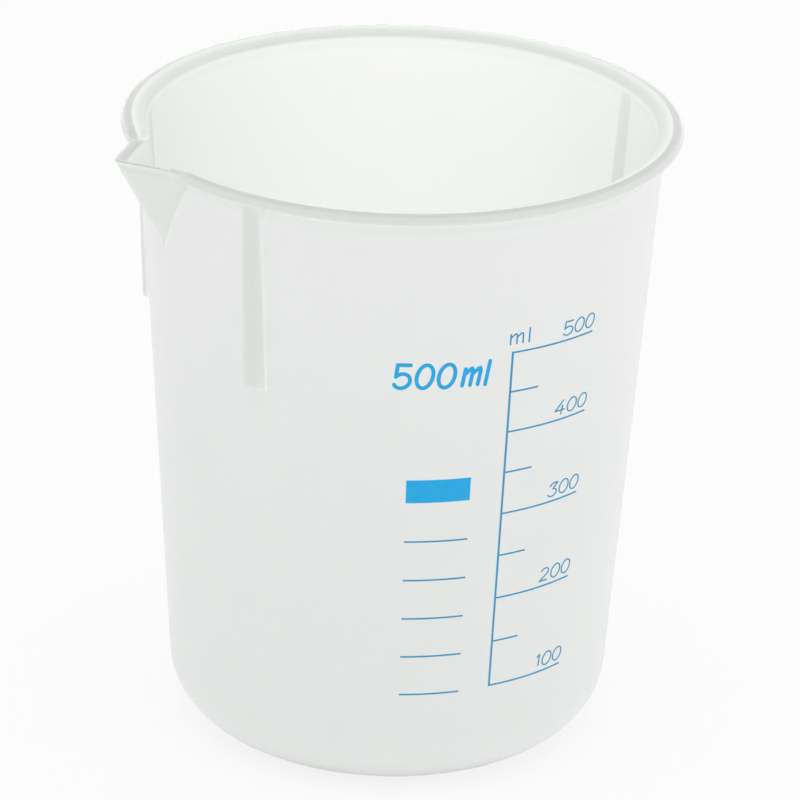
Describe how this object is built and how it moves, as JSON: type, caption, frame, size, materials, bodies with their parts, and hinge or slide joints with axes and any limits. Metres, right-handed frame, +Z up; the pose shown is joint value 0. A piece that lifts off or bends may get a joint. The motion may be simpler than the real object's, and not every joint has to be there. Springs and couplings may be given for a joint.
{
  "type": "plastic beaker",
  "caption": "Drafted translucent plastic beaker with a V-shaped pouring spout, rounded lip, outer stacking ribs and a printed volume scale, for measuring and pouring liquids.",
  "frame": {"origin": "on the axis of the cup, on the plane that the base stands on", "axes": "+Z up along the axis of the cup, -X towards the tip of the spout, -Y towards the printed scale"},
  "size_m": [0.1092, 0.1036, 0.1202],
  "materials": {
    "natural_plastic": "satin, translucent natural polypropylene",
    "blue_ink": "satin screen-printed ink"
  },
  "bodies": {
    "root": {"capacity_hundreds": "blue_ink", "capacity_letter_l": "blue_ink", "capacity_letter_m": "blue_ink", "capacity_tens": "blue_ink", "capacity_units": "blue_ink", "graduation_100": "blue_ink", "graduation_150": "blue_ink", "graduation_200": "blue_ink", "graduation_250": "blue_ink", "graduation_300": "blue_ink", "graduation_350": "blue_ink", "graduation_400": "blue_ink", "graduation_450": "blue_ink", "graduation_500": "blue_ink", "moulded_body": "natural_plastic", "numeral_100_hundreds": "blue_ink", "numeral_100_tens": "blue_ink", "numeral_100_units": "blue_ink", "numeral_200_hundreds": "blue_ink", "numeral_200_tens": "blue_ink", "numeral_200_units": "blue_ink", "numeral_300_hundreds": "blue_ink", "numeral_300_tens": "blue_ink", "numeral_300_units": "blue_ink", "numeral_400_hundreds": "blue_ink", "numeral_400_tens": "blue_ink", "numeral_400_units": "blue_ink", "numeral_500_hundreds": "blue_ink", "numeral_500_tens": "blue_ink", "numeral_500_units": "blue_ink", "panel_head_bar": "blue_ink", "panel_rule_1": "blue_ink", "panel_rule_2": "blue_ink", "panel_rule_3": "blue_ink", "panel_rule_4": "blue_ink", "panel_rule_5": "blue_ink", "scale_stem": "blue_ink", "unit_letter_l": "blue_ink", "unit_letter_m": "blue_ink"}
  },
  "joints": []
}
